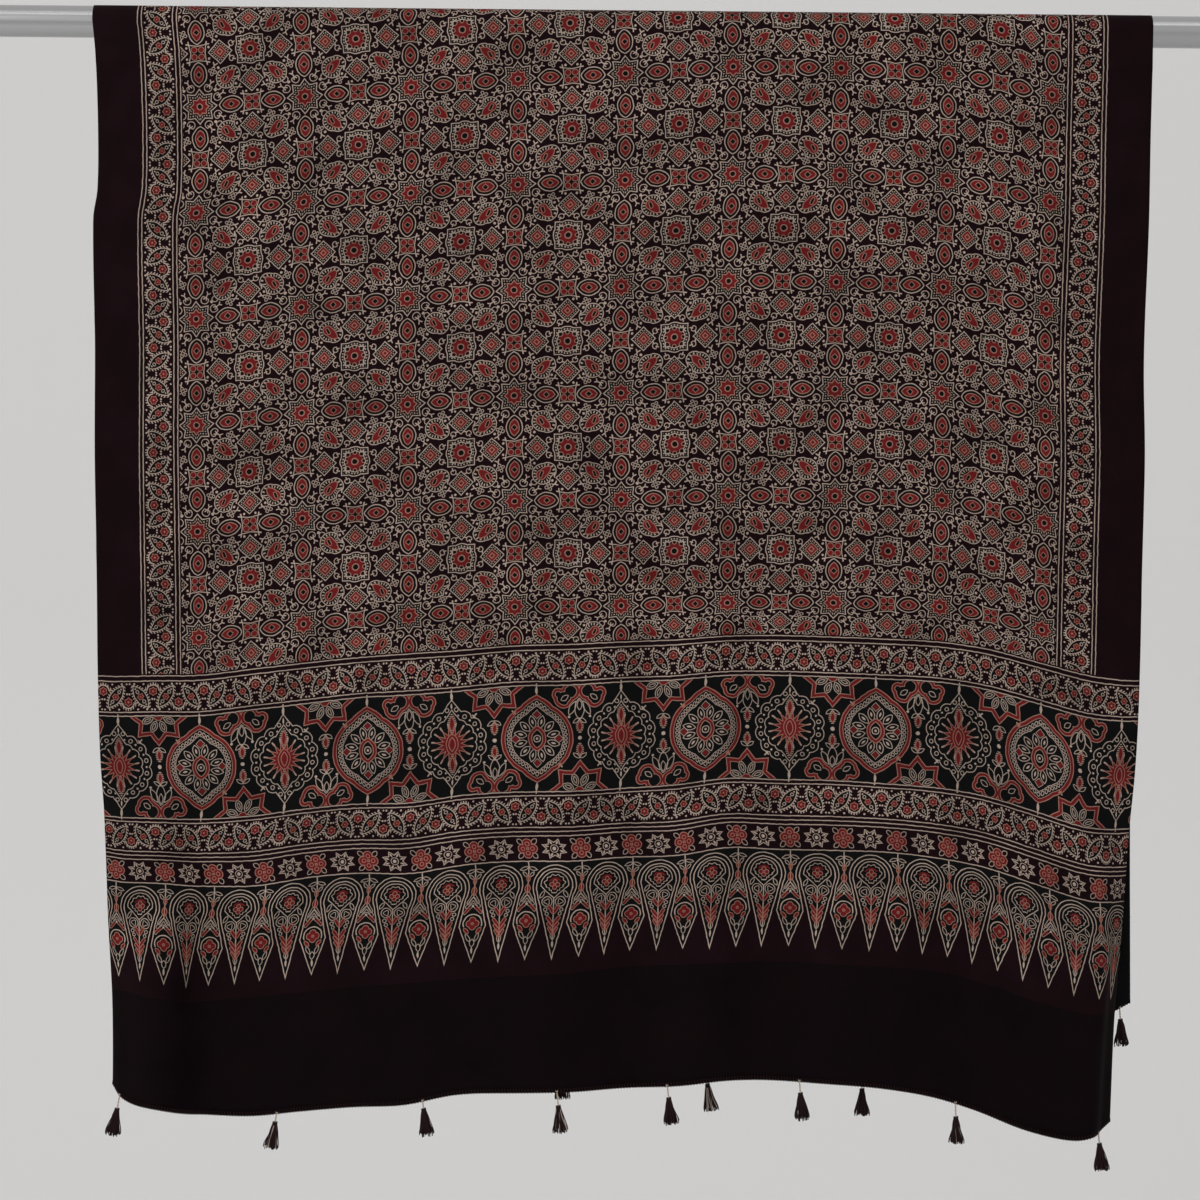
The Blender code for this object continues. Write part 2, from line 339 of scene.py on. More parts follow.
# %% Where the printed rows hang on the front
FIRST_LINE = 0.0
TOP_STARS = -571.0
LOW_STARS = -39.0
BAND_LINE = 145.0
TRIPLE_LINE = 181.0
SPEAR_LINE = 215.0
SPEAR_TIPS = 318.0
FRONT_HEM = 446.0
PRINT_LINES = (
    TOP_STARS, LOW_STARS, FIRST_LINE, 36.0, BAND_LINE, TRIPLE_LINE, SPEAR_LINE, SPEAR_TIPS, FRONT_HEM,
)
PRINT_DROPS = (
    # across, then the drop of each of the print lines
    (0, 87, 618, 657, 693, 797, 829, 861, 960, 1066),
    (20, 87, 618, 657.5, 693.5, 798, 831, 863, 961, 1080),
    (60, 87, 618, 656.5, 692.5, 798.5, 831.5, 863.5, 966, 1088),
    (106, 86.5, 618, 655.5, 692, 800, 834.5, 867.5, 971.5, 1096),
    (160, 80.5, 610, 649, 685.5, 796, 832.5, 866.5, 966.5, 1098),
    (213, 75, 603, 642.5, 679, 788.5, 824.5, 857.5, 960, 1091.5),
    (266, 70, 598.5, 636.5, 672.5, 783, 819, 852, 953.5, 1086),
    (319, 65, 594, 632, 669, 781, 817.5, 851.5, 949, 1083),
    (372, 60, 589, 628, 664.5, 773, 809, 842.5, 944.5, 1072),
    (425, 55.5, 584, 623, 659, 769, 804.5, 838, 940.5, 1069),
    (478, 52, 583, 621, 657.5, 767.5, 803, 837, 936.5, 1067.5),
    (531, 49, 582, 618, 654, 765, 800, 834, 932, 1065.5),
    (585, 45, 580, 615.5, 651.5, 761, 797.5, 831.5, 928, 1062.5),
    (638, 41, 578, 611, 646.5, 753.5, 789, 822.5, 925.5, 1056),
    (691, 41, 577, 610, 646, 754.5, 790.5, 824.5, 924.5, 1056),
    (744, 41.5, 577, 611, 647, 754.5, 790.5, 824.5, 926, 1057.5),
    (797, 43.5, 578, 612.5, 648.5, 757, 792, 825, 927, 1060),
    (850, 46, 580, 615, 651, 761, 797, 831, 931, 1069),
    (900, 54, 588, 621.5, 658, 769, 805.5, 840.5, 943, 1083.5),
    (956, 66, 602, 635, 672, 784, 821.5, 857, 960, 1103),
    (1005, 70, 608, 647, 684.5, 798, 835.5, 871, 971, 1111),
    (1040, 71, 610, 651.5, 688, 801, 839, 874, 974.5, 1104),
    (1060, 71, 610, 652, 688, 800.5, 839, 874, 974.5, 1096),
)
SLIDE = (
    # place across the print, how far along the row it has slid
    (0, 0), (106, -3.5), (319, -3.2), (531, -0.3), (744, 3.5), (850, 5.3), (956, 3.2), (1060, 0),
)
BACK_FIRST_LINE = -1275.0
BACK_SPEAR_TIPS = BACK_FIRST_LINE - SPEAR_TIPS
BACK_HEM_LINE = BACK_FIRST_LINE - FRONT_HEM


def row_points(along, across):
    """Points in millimetres of one printed row of the sheet, wherever each part of it hangs."""
    place = across + smooth_curve(column(SLIDE, 0), column(SLIDE, 1), across)
    drops = []
    for line in range(len(PRINT_LINES)):
        drops.append(smooth_curve(column(PRINT_DROPS, 0), column(PRINT_DROPS, line + 1), across))
    if along >= TOP_STARS:
        k = min(max(n for n, line in enumerate(PRINT_LINES) if line <= along), len(PRINT_LINES) - 2)
        share = (along - PRINT_LINES[k]) / (PRINT_LINES[k + 1] - PRINT_LINES[k])
        drop = drops[k] + share * (drops[k + 1] - drops[k])
        return layer_points("front", place, drop)
    drop = drops[0] + along - TOP_STARS
    back_drop = -drop - BEND_LENGTH
    if along < BACK_SPEAR_TIPS:
        hem = smooth_curve(column(BACK_HEM, 0), column(BACK_HEM, 1), across)
        share = (BACK_SPEAR_TIPS - along) / (BACK_SPEAR_TIPS - BACK_HEM_LINE)
        tips = -(drops[0] + BACK_SPEAR_TIPS - TOP_STARS) - BEND_LENGTH
        back_drop = tips + share * (hem - tips)
    front = layer_points("front", place, drop)
    back = layer_points("back", place, back_drop)
    angle = np.clip(-drop / BEND_RADIUS, 0, math.pi)
    bend = np.stack([front[:, 0], -BEND_RADIUS * np.cos(angle), BEND_RADIUS * np.sin(angle)], axis=1)
    points = np.where((drop >= 0)[:, None], front, bend)
    return np.where((back_drop > 0)[:, None], back, points)


# %% [markdown]
# ## The sheet
# It could be a plane that is subdivided and then moved, but a grid primitive already has its rows and
# columns. It gets more columns where the folds are tight and more rows over the rod. Each vertex is put
# where the tables say. The UV map holds the print's own coordinates in metres, so one unit of the
# pattern is one metre of cloth. Solidify gives the cotton its thickness, and gives the reverse a finish
# of its own, because the print doesn't come through.

# %% Rows and columns of the sheet
def stations(*bands):
    """Places from band to band, each band divided evenly into cells of about its own size."""
    places = [bands[0][0]]
    for start, end, cell in bands:
        count = max(1, round(abs(end - start) / cell))
        places += [start + (end - start) * (k + 1) / count for k in range(count)]
    return np.array(places)


LEFT_MARGIN_END, RIGHT_MARGIN_START = 45.0, 1015.0
FIELD_LEFT, FIELD_RIGHT = 89.0, 971.0
columns = stations(
    (0, LEFT_MARGIN_END, 4), (LEFT_MARGIN_END, FIELD_LEFT, 4.4), (FIELD_LEFT, 140, 5), (140, FIELD_RIGHT, 9.5),
    (FIELD_RIGHT, RIGHT_MARGIN_START, 5), (RIGHT_MARGIN_START, CLOTH_WIDTH, 3.5),
)
FRONT_BANDS = (-2.0, 38.0, 147.0, 183.0, SPEAR_LINE + 0.8, 330.0)
front_edges = list(zip((FRONT_HEM,) + FRONT_BANDS[::-1], FRONT_BANDS[::-1]))
back_bands = [BACK_FIRST_LINE - line for line in FRONT_BANDS]
rows = stations(
    *((start, end, 9 if start == FRONT_HEM else 6) for start, end in front_edges),
    (-2.0, -600, 6), (-600, -725, 3.2), (-725, back_bands[0], 11),
    *((start, end, 9) for start, end in zip(back_bands, back_bands[1:] + [BACK_HEM_LINE])),
)
print(len(columns), "columns by", len(rows), "rows")

# %% Place the sheet
bpy.ops.mesh.primitive_grid_add(x_subdivisions=len(columns) - 1, y_subdivisions=len(rows) - 1, size=2)
cloth = bpy.context.object
cloth.name = "ajrakh_cloth"
grid = np.zeros(len(cloth.data.vertices) * 3)
cloth.data.vertices.foreach_get("co", grid)
grid = grid.reshape(-1, 3)
column_of = np.rint((grid[:, 0] + 1) / 2 * (len(columns) - 1)).astype(int)
row_of = np.rint((1 + grid[:, 1]) / 2 * (len(rows) - 1)).astype(int)
sheet_points = np.array([row_points(along, columns) for along in rows]) * MM
cloth.data.vertices.foreach_set("co", sheet_points[row_of, column_of].ravel())
cloth.data.update()
lowest = float(sheet_points[0, :, 2].min())
print("sheet:", len(cloth.data.polygons), "faces, front hem down to", round(lowest, 3), "m")

# %% Print coordinates as a UV map
print_map = cloth.data.uv_layers[0]
print_map.name = "print"
corner_vertex = np.zeros(len(cloth.data.loops), int)
cloth.data.loops.foreach_get("vertex_index", corner_vertex)
corner_places = np.stack([columns[column_of[corner_vertex]], rows[row_of[corner_vertex]]], axis=1) * MM
print_map.data.foreach_set("uv", corner_places.ravel())

# %% [markdown]
# ## How the print is drawn
# Ajrakh is printed with carved blocks: one for the resist that keeps the lines cream, one for black, one
# for red. A picture of the cloth could be wrapped on, but a drawn print stays sharp at any size. Each
# block here is a number worked out by nodes at every point of the cloth: the distance in millimetres to
# the nearest edge of what the block prints, below zero inside it. Lines, rings and petals are short
# sums, and the nearest of them wins. Two small classes let such sums be written as ordinary arithmetic.

# %% Numbers and places worked out by nodes
def add_node(kind, operation, values, clamp=False):
    """Adds a Math or Vector Math node that works on numbers, places or sockets."""
    tree = next(value.socket.id_data for value in values if isinstance(value, (Number, Place)))
    node = tree.nodes.new(kind)
    node.operation = operation
    if clamp:
        node.use_clamp = True
    for entry, value in zip(node.inputs, values):
        if isinstance(value, (Number, Place)):
            tree.links.new(value.socket, entry)
        else:
            entry.default_value = value
    return node


def math_node(operation, *values, clamp=False):
    return Number(add_node("ShaderNodeMath", operation, values, clamp).outputs[0])


def vector_node(operation, *values):
    return add_node("ShaderNodeVectorMath", operation, values)


class Number:
    """A number that nodes work out at every point of the cloth."""

    def __init__(self, socket):
        self.socket = socket

    def __add__(self, other):
        return math_node("ADD", self, other)

    __radd__ = __add__

    def __sub__(self, other):
        return math_node("SUBTRACT", self, other)

    def __rsub__(self, other):
        return math_node("SUBTRACT", other, self)

    def __mul__(self, other):
        return math_node("MULTIPLY", self, other)

    __rmul__ = __mul__

    def __neg__(self):
        return math_node("MULTIPLY", self, -1.0)

    def __abs__(self):
        return math_node("ABSOLUTE", self)


class Place:
    """A point of the pattern, in millimetres, that nodes work out."""

    def __init__(self, socket):
        self.socket = socket

    def to(self, x, y):
        """Distance to a fixed point."""
        return Number(vector_node("DISTANCE", self, (x, y, 0)).outputs["Value"])

    def along(self, x, y):
        """Distance along a direction, which is x times across plus y times along."""
        return Number(vector_node("DOT_PRODUCT", self, (x, y, 0)).outputs["Value"])

    def moved(self, x, y):
        """The same point, seen from a new middle."""
        return Place(vector_node("SUBTRACT", self, (x, y, 0)).outputs["Vector"])

    def turned(self, degrees):
        """The same point, seen from axes turned by an angle."""
        angle = math.radians(degrees)
        new_x = self.along(math.cos(angle), math.sin(angle))
        return place(new_x, self.along(-math.sin(angle), math.cos(angle)))

    def folded(self):
        """The same point in a pattern that is alike in all four quarters."""
        return Place(vector_node("ABSOLUTE", self).outputs["Vector"])

    @property
    def length(self):
        return Number(vector_node("LENGTH", self).outputs["Value"])

    @property
    def x(self):
        return self.along(1, 0)

    @property
    def y(self):
        return self.along(0, 1)


def place(x, y):
    tree = (x if isinstance(x, Number) else y).socket.id_data
    node = tree.nodes.new("ShaderNodeCombineXYZ")
    for entry, value in zip(node.inputs, (x, y)):
        if isinstance(value, Number):
            tree.links.new(value.socket, entry)
        else:
            entry.default_value = value
    return Place(node.outputs[0])


def least(first, *others):
    for other in others:
        first = math_node("MINIMUM", first, other)
    return first


def most(first, *others):
    for other in others:
        first = math_node("MAXIMUM", first, other)
    return first


def to_and_fro(value, half):
    """0 to `half` and back again, over and over."""
    return math_node("PINGPONG", value, half)


def eighth(point):
    """Folds a quarter along its diagonal, so that x is never less than y."""
    x, y = point.x, point.y
    return place(most(x, y), least(x, y))


# %% [markdown]
# ## Shapes that the blocks are carved with
# Every shape is a signed distance. A lens is where two circles overlap, a comb is a row of short bars
# along an edge, and beads are dots along an edge. Both follow any outline, because they only need the
# distance to it and a number that grows along it.

# %% Carved shapes
def disc(point, x, y, radius):
    return point.to(x, y) - radius


def lens(point, half_long, half_wide):
    """A pointed oval that lies along x and is already folded about both axes."""
    radius = (half_long ** 2 + half_wide ** 2) / (2 * half_wide)
    return point.to(0, half_wide - radius) - radius


def stroke(point, x0, y0, x1, y1):
    """Distance to a straight stroke between two points."""
    run = Vector((x1 - x0, y1 - y0, 0))
    local = point.moved(x0, y0)
    share = math_node("MULTIPLY", local.along(*(run / run.length_squared).xy), 1.0, clamp=True)
    tree = share.socket.id_data
    nearest = tree.nodes.new("ShaderNodeVectorMath")
    nearest.operation = "SCALE"
    nearest.inputs[0].default_value = run
    tree.links.new(share.socket, nearest.inputs["Scale"])
    return Number(vector_node("DISTANCE", local, Place(nearest.outputs[0])).outputs["Value"])


def beads(edge, travel, inset, pitch, radius):
    """Dots inside an edge, one every pitch along it."""
    return place(edge + inset, to_and_fro(travel, pitch / 2)).length - radius


def comb(edge, travel, start, end, pitch, half_wide):
    """Short bars that stand on an edge, from start to end of it."""
    bars = to_and_fro(travel, pitch / 2) - half_wide
    return most(bars, abs(edge - (start + end) / 2) - (end - start) / 2)


LINE_SHARE = 0.68


class Block:
    """One printing block: the nearest of all that is carved on it. Cloth takes its lines a little thin."""

    def __init__(self):
        self.nearest = None

    def fill(self, distance):
        self.nearest = distance if self.nearest is None else least(self.nearest, distance)

    def line(self, distance, width=1.3):
        self.fill(abs(distance) - width / 2 * LINE_SHARE)


# %% [markdown]
# ## The field
# One repeat of the field is about 106 mm square. Each quarter mirrors its neighbours, and all but the
# paisley is alike about the diagonal too, so most of it is drawn once in an eighth of the repeat. Its
# pieces: an eight-pointed star on each corner, pointed ovals and petalled squares between the stars, a
# rosette in the middle with four diamonds round it, and sprigs, flowers, dots and a paisley between.

# %% Field motifs
REPEAT = 106.3
HALF = REPEAT / 2
STAR_ACROSS = 531.5


def star(cream, red, black, corner):
    edge = least(corner.along(0.6186, 0.7860) - 10.82, corner.along(0.9929, -0.1191) - 10.75)
    middle = corner.length
    cream.line(edge)
    travel = least(corner.y * 1.6, corner.y + 2.9)
    cream.fill(beads(edge, travel - 1.4, 2.5, 2.8, 0.65))
    cream.line(edge + 4.85)
    red.fill(most(edge + 4.85, 2.9 - middle))
    cream.line(middle - 2.9, 1.4)
    black.fill(edge)


def pointed_oval(cream, red, black, corner):
    local = corner.moved(32, 0).folded()
    outer = lens(local, 12.1, 8.0)
    inner = lens(local, 8.5, 4.9)
    jewel = local.along(0.7071, 0.7071)
    cream.line(outer)
    cream.line(inner, 1.1)
    red.fill(most(inner, 2.3 - jewel))
    cream.line(jewel - 2.2, 0.9)
    black.fill(outer)


def petalled_square(cream, red, black, corner):
    side = place(HALF - corner.x, corner.y)
    local = eighth(side)
    edge = local.along(1.0, -0.16) - 7.2
    petal = disc(local, 3.6, 3.6, 2.9)
    cream.line(edge, 1.2)
    cream.line(petal, 0.9)
    red.fill(petal)
    cream.fill(stroke(local, 8.8, 8.8, 11.4, 9.2) - 0.6)
    cream.fill(disc(side, 5.8, 11.2, 1.15))
    black.fill(edge)


def rosette(cream, red, black, corner):
    local = place(HALF - corner.y, HALF - corner.x)
    edge = least(local.x - 13.2, disc(local, 4.0, 0, 10.8))
    middle = local.length
    petals = least(local.to(8.9, 0) + 0.7, local.to(7.3, 7.3))
    cream.line(edge)
    cream.fill(beads(edge, local.y, 2.4, 2.9, 0.7))
    cream.line(edge + 4.2, 1.1)
    cream.line(petals - 2.6, 1.0)
    red.fill(most(middle - 8.4, 2.6 - petals, 3.3 - middle))
    cream.line(middle - 3.2, 1.5)
    black.fill(edge)


def diamond(cream, red, black, corner):
    beside = HALF - corner.x
    local = place(beside, abs(corner.y - 22.5))
    edge = local.along(0.7071, 0.7071) - 8.35
    cream.line(edge, 1.2)
    cream.fill(beads(edge, local.along(0.7071, -0.7071), 1.9, 2.5, 0.55))
    cream.line(edge + 3.8, 1.1)
    cream.line(edge + 6.4, 1.3)
    red.fill(edge + 3.8)
    black.fill(edge)
    # The two tulips that lean from the diamond towards the rosette.
    tulip = place(beside, corner.y).moved(7.6, 34.2)
    cup = tulip.length - 2.6
    cream.line(most(cup, tulip.along(0.35, 0.94) - 1.6), 1.1)
    cream.fill(stroke(tulip, 0.4, 0.9, 1.2, 3.4) - 0.5)
    cream.fill(stroke(tulip, -4.2, -2.2, -2.0, -1.8) - 0.5)


def cross_flower(cream, corner):
    local = corner.moved(34.3, 14.0).turned(22)
    spread = place(local.x, abs(local.y))
    petals = eighth(local.folded())
    cream.line(disc(petals, 2.8, 0, 1.45), 0.95)
    cream.fill(stroke(spread, 4.2, 0, 6.3, 0) - 0.55)
    cream.fill(stroke(spread, 6.3, 0, 8.6, 2.0) - 0.55)


def bud(cream, corner):
    local = corner.moved(18.3, 9.0).turned(31)
    spread = place(local.x, abs(local.y))
    cream.line(most(local.length - 3.8, local.x - 2.4), 1.1)
    cream.fill(stroke(spread, 3.4, 0, 0.4, 1.5) - 0.5)
    cream.fill(stroke(spread, 3.4, 0, 6.0, 0) - 0.5)
    cream.fill(stroke(spread, 6.0, 0, 8.0, 1.9) - 0.5)


def paisley(cream, red, black, quarter):
    round_part = least(disc(quarter, 28, 26.6, 10.3), disc(quarter, 33, 29.6, 8.4))
    body = most(round_part, 6.6 - quarter.to(41.4, 19.6))
    heart = least(disc(quarter, 26.5, 25.7, 4.7), lens(quarter.moved(29.6, 28.5).turned(42).folded(), 8.4, 4.2))
    local = quarter.moved(28.6, 27.0)
    turn = math_node("ARCTAN2", local.y, local.x) * (9 / math.pi)
    cream.line(body, 1.2)
    cream.line(heart, 1.1)
    cream.fill(comb(body, turn * 2.9, -3.4, -1.1, 2.9, 0.5))
    seed = stroke(quarter, 25.9, 24.6, 27.6, 28.2)
    red.fill(most(heart, 1.5 - seed))
    cream.line(seed - 1.5, 0.9)
    black.fill(body)
    # The curled tip and the loop at the heel.
    cream.fill(stroke(quarter, 39.9, 27.6, 39.7, 23.2) - 0.55)
    cream.line(most(disc(quarter, 19.4, 18.6, 2.9), -body), 1.1)


def field(at, cream, red, black):
    quarter = place(to_and_fro(at.x - STAR_ACROSS, HALF), to_and_fro(at.y - LOW_STARS, HALF))
    corner = eighth(quarter)
    star(cream, red, black, corner)
    pointed_oval(cream, red, black, corner)
    petalled_square(cream, red, black, corner)
    rosette(cream, red, black, corner)
    diamond(cream, red, black, corner)
    cross_flower(cream, corner)
    bud(cream, corner)
    cream.fill(least(corner.to(16.0, 15.6), corner.to(37.4, 19.8)) - 1.2)
    paisley(cream, red, black, quarter)

# %% [markdown]
# ## The leaf chain
# The same chain runs down both sides of the field and twice across each end: slanting leaves with
# combed edges, and red rosettes in the bays between them. It turns about the middle of each leaf, so it
# is folded there and each thing is drawn once.

# %% Leaf chain
LEAF_PITCH = 26.3


def flower(point, petals, radius, wave):
    """Distance to a round flower with that many soft petals."""
    angle = math_node("ARCTAN2", point.y, point.x)
    return point.length - (math_node("COSINE", angle * petals) * wave + radius)


def leaf_chain(across, along, cream, red, black):
    half_turn = to_and_fro(along, LEAF_PITCH) - LEAF_PITCH / 2
    point = place(-(across * math_node("SIGN", half_turn)), abs(half_turn))
    tilted = point.turned(-37).folded()
    leaf = lens(tilted, 12.9, 5.7)
    cream.line(leaf, 1.1)
    cream.fill(comb(leaf, tilted.x, 0.4, 2.2, 2.7, 0.5))
    black.fill(leaf)
    core = flower(tilted, 6, 2.9, 0.45)
    cream.line(core, 0.9)
    red.fill(core)
    cream.fill(tilted.length - 0.6)
    cream.line(disc(tilted, 6.0, 0, 1.5), 0.9)
    cream.fill(disc(tilted, 9.4, 0, 0.75))
    bay = point.moved(5.2, LEAF_PITCH / 2)
    rosette_edge = flower(bay, 6, 3.7, 0.5)
    cream.line(rosette_edge, 1.0)
    red.fill(rosette_edge)
    cream.fill(bay.length - 0.9)
    arc = bay.length - 6.4
    outward = 0.5 - bay.x
    cream.fill(most(abs(arc) - 0.55, outward))
    cream.fill(most(comb(arc, bay.y, 0.4, 2.3, 2.6, 0.5), outward))
    dots = least(point.to(-2.6, 11.9), point.to(-12.8, 11.6), point.to(-12.8, 6.6), point.to(12.6, 3.2))
    cream.fill(dots - 0.9)


# %% Side borders and the bands across
SIDE_LINES = (46.9, 50.9, 83.0, 87.2)
SIDE_ROSETTE = -355.5
BAND_ROSETTE = 531.5


def side_border(at, cream, red, black):
    across = math_node("MINIMUM", at.x, CLOTH_WIDTH - at.x)
    for line in SIDE_LINES:
        cream.line(across - line, 1.35)
    leaf_chain(across - (SIDE_LINES[1] + SIDE_LINES[2]) / 2, at.y - SIDE_ROSETTE, cream, red, black)


def end_distance(at):
    """How far a point lies beyond the first line of whichever end border it is nearer to."""
    return most(at.y, BACK_FIRST_LINE - at.y)


def leaf_band(start, lines):
    """A leaf chain across the cloth, with printed lines above and below it."""
    def pattern(at, cream, red, black):
        down = end_distance(at)
        for line in lines:
            cream.line(down - line, 1.35)
        leaf_chain((start + 15.6) - down, at.x - BAND_ROSETTE, cream, red, black)
    return pattern


# %% [markdown]
# ## The medallion band
# Two medallions take turns on black: an ogee with a red rim, and a scalloped ring of small circles
# round a red starburst. Between them stand a half star and a palmette, which swap places from gap to
# gap. Motifs that go round a middle are drawn as one spoke of a wheel.

# %% Wheels
def wheel(point, spokes):
    """One spoke of a pattern that goes round a middle. Its spokes lie off the x axis by half a step."""
    step = math.pi / spokes
    angle = to_and_fro(math_node("ARCTAN2", point.y, point.x) + step, step)
    far = point.length
    return place(far * math_node("COSINE", angle), far * math_node("SINE", angle))


def rimmed(edge, cream, red, rim, line=1.2):
    """A red rim between two cream lines, inside an edge."""
    cream.line(edge, line)
    red.fill(most(edge, -rim - edge))
    cream.line(edge + rim + 0.4, 0.9)


# %% Medallions
MEDALLION_STEP = 85.2
MEDALLION_MIDDLE = 92.5
SCALLOPED_ACROSS = 531.5


def ogee_medallion(point, cream, red, black):
    edge = least(disc(point, 0, 0, 35.6), lens(place(point.y, point.x), 43.0, 28.5))
    rimmed(edge, cream, red, 3.0)
    spin = math_node("ARCTAN2", point.y, point.x) * 24
    cream.line(beads(edge, spin * 1.4, 7.0, 4.4, 1.6), 1.0)
    cream.line(edge + 9.6, 0.9)
    spoke = wheel(point, 12)
    petal = lens(spoke.moved(17.0, 0).folded(), 6.4, 3.1)
    cream.line(petal, 1.0)
    cream.fill(lens(spoke.moved(17.0, 0).folded(), 2.6, 0.9))
    jewel = least(abs(point.x - 21.6) + point.y, point.x + abs(point.y - 24.0))
    cream.line(jewel - 4.3, 1.1)
    red.fill(jewel - 3.2)
    eye = lens(place(point.y, point.x), 12.2, 8.6)
    cream.line(eye, 1.1)
    black.fill(eye)
    red.fill(most(eye, -2.6 - eye))
    cream.line(eye + 3.0, 1.1)
    cream.line(point.length - 3.4, 1.2)
    cream.fill(point.length - 1.2)


def scalloped_medallion(point, cream, red, black):
    far = point.length
    lobe = wheel(point, 14)
    tip = point.along(0.80, 0.60)
    outer = least(disc(lobe, 26.5, 0, 8.2), far - 28, most(tip - 26.6, 24 - point.y))
    inner = least(disc(lobe, 18.8, 0, 6.5), far - 20, most(tip - 20.4, 16 - point.y))
    cream.line(outer, 1.1)
    cream.line(inner, 1.1)
    circles = least(lobe.to(29.4, 0), point.to(4.6, 34.2))
    cream.line(most(circles - 1.9, 1.2 - inner), 1.0)
    cream.fill(most(disc(lobe, 28.0, 6.4, 1.0), 1.0 - inner))
    cream.fill(lens(place(abs(point.y - 37.8), point.x), 3.0, 0.8))
    ray = wheel(point, 16).along(0.24, 0.97) - 4.0
    red.fill(ray)
    cream.line(ray, 0.9)
    cream.fill(stroke(wheel(point, 16), 17.0, 0, 20.8, 0) - 0.7)
    club = lens(place(abs(point.y - 20.5), point.x), 7.4, 2.4)
    cream.line(club, 1.0)
    cream.fill(comb(club, point.y, 0.3, 1.9, 2.0, 0.4))
    red.fill(club)
    eye = lens(place(point.y, point.x), 10.6, 6.0)
    cream.line(eye, 1.0)
    cream.line(eye + 2.9, 1.1)


# %% What stands between the medallions
def half_star(point, cream, red, black):
    """The lower half of a big star that hangs from the band's edge. y is the distance from that edge."""
    corner = eighth(point)
    edge = least(corner.along(0.6186, 0.7860) - 19.0, corner.along(0.9929, -0.1191) - 18.9)
    rimmed(edge, cream, red, 3.1)
    spoke = wheel(point, 8)
    petal = lens(spoke.moved(12.2, 0).folded(), 6.4, 3.2)
    cream.line(petal, 1.0)
    cream.line(petal + 1.9, 0.9)
    cream.line(point.length - 4.6, 1.0)
    red.fill(most(point.length - 4.2, 1.4 - point.length))
    barb = point.moved(19.5, 26.0)
    cream.fill(least(stroke(barb, -1.5, -1.5, 1.6, 1.6), stroke(barb, -0.4, 1.9, 2.0, -0.6)) - 0.6)


def palmette(point, cream, red, black):
    """A spread palmette that stands on the band's edge, with a lotus bud in its cup."""
    cup = point.to(0, 25.0)
    lobes = least(disc(point, 15.5, 13.0, 9.6), disc(point, 8.5, 6.5, 9.0), disc(point, 21.0, 9.0, 6.0))
    wing = most(lobes, 11.0 - cup)
    rimmed(wing, cream, red, 2.6, 1.1)
    eye = lens(point.moved(14.6, 12.6).turned(35).folded(), 4.2, 2.2)
    cream.line(eye, 0.9)
    bud_edge = lens(place(abs(point.y - 24.0), point.x), 10.6, 4.6)
    cream.line(bud_edge, 1.0)
    cream.line(lens(place(abs(point.y - 20.0), point.x), 5.0, 2.2), 0.9)
    sepal = lens(point.moved(7.2, 23.0).turned(62).folded(), 7.4, 2.8)
    cream.line(most(sepal, -0.7 - bud_edge), 1.0)
    cream.fill(point.to(10.6, 31.4) - 1.2)


def standing_buds(point, cream, red, black):
    """The red buds between two medallions. y is the distance from the middle of the band."""
    lozenge = lens(place(abs(point.y - 11.6), point.x), 5.0, 2.2)
    red.fill(lozenge)
    cream.line(lozenge, 1.0)
    cream.fill(comb(lozenge, point.y, 0.2, 1.6, 1.9, 0.4))
    cream.fill(point.length - 1.9)
    cream.line(lens(point.moved(3.4, 17.2).turned(-35).folded(), 4.0, 1.6), 0.9)


def medallion_band(at, cream, red, black):
    down = end_distance(at)
    for line in (36.0, 40.0, BAND_LINE, BAND_LINE + 4.0):
        cream.line(down - line, 1.35)
    travel = at.x - SCALLOPED_ACROSS
    step = to_and_fro(travel, MEDALLION_STEP)
    level = down - MEDALLION_MIDDLE
    height = abs(level)
    scalloped_medallion(place(step, height), cream, red, black)
    ogee_medallion(place(MEDALLION_STEP - step, height), cream, red, black)
    side = math_node("SIGN", math_node("SINE", travel * (math.pi / MEDALLION_STEP)))
    gap = abs(step - MEDALLION_STEP / 2)
    from_edge = BAND_LINE - MEDALLION_MIDDLE - height
    upper = math_node("SIGN", level * side)
    beyond = math_node("LESS_THAN", from_edge, 1.0)
    # A far-away place hides each of the two where the other stands, and both beyond the band's edge.
    half_star(place(gap, from_edge + most(upper, beyond) * 99), cream, red, black)
    palmette(place(gap, from_edge + most(-upper, beyond) * 99), cream, red, black)
    standing_buds(place(gap, height), cream, red, black)
    black.fill(height - (BAND_LINE - MEDALLION_MIDDLE))
    finial = least(step, MEDALLION_STEP - step)
    cream.fill(lens(place(abs(height - 47.5), finial), 4.6, 1.3))
    cream.fill(most(finial - 0.55, 43.0 - height))


# %% [markdown]
# ## Flowers and spears
# Below the leaf chain a row of flowers alternates a red four-petalled one with a cream eight-petalled
# one. Under each red flower hangs a lozenge spear, and under each cream one a teardrop, so both rows
# share one fold.

# %% Flower row
SPEAR_STEP = 26.6
LOZENGE_ACROSS = 11.3


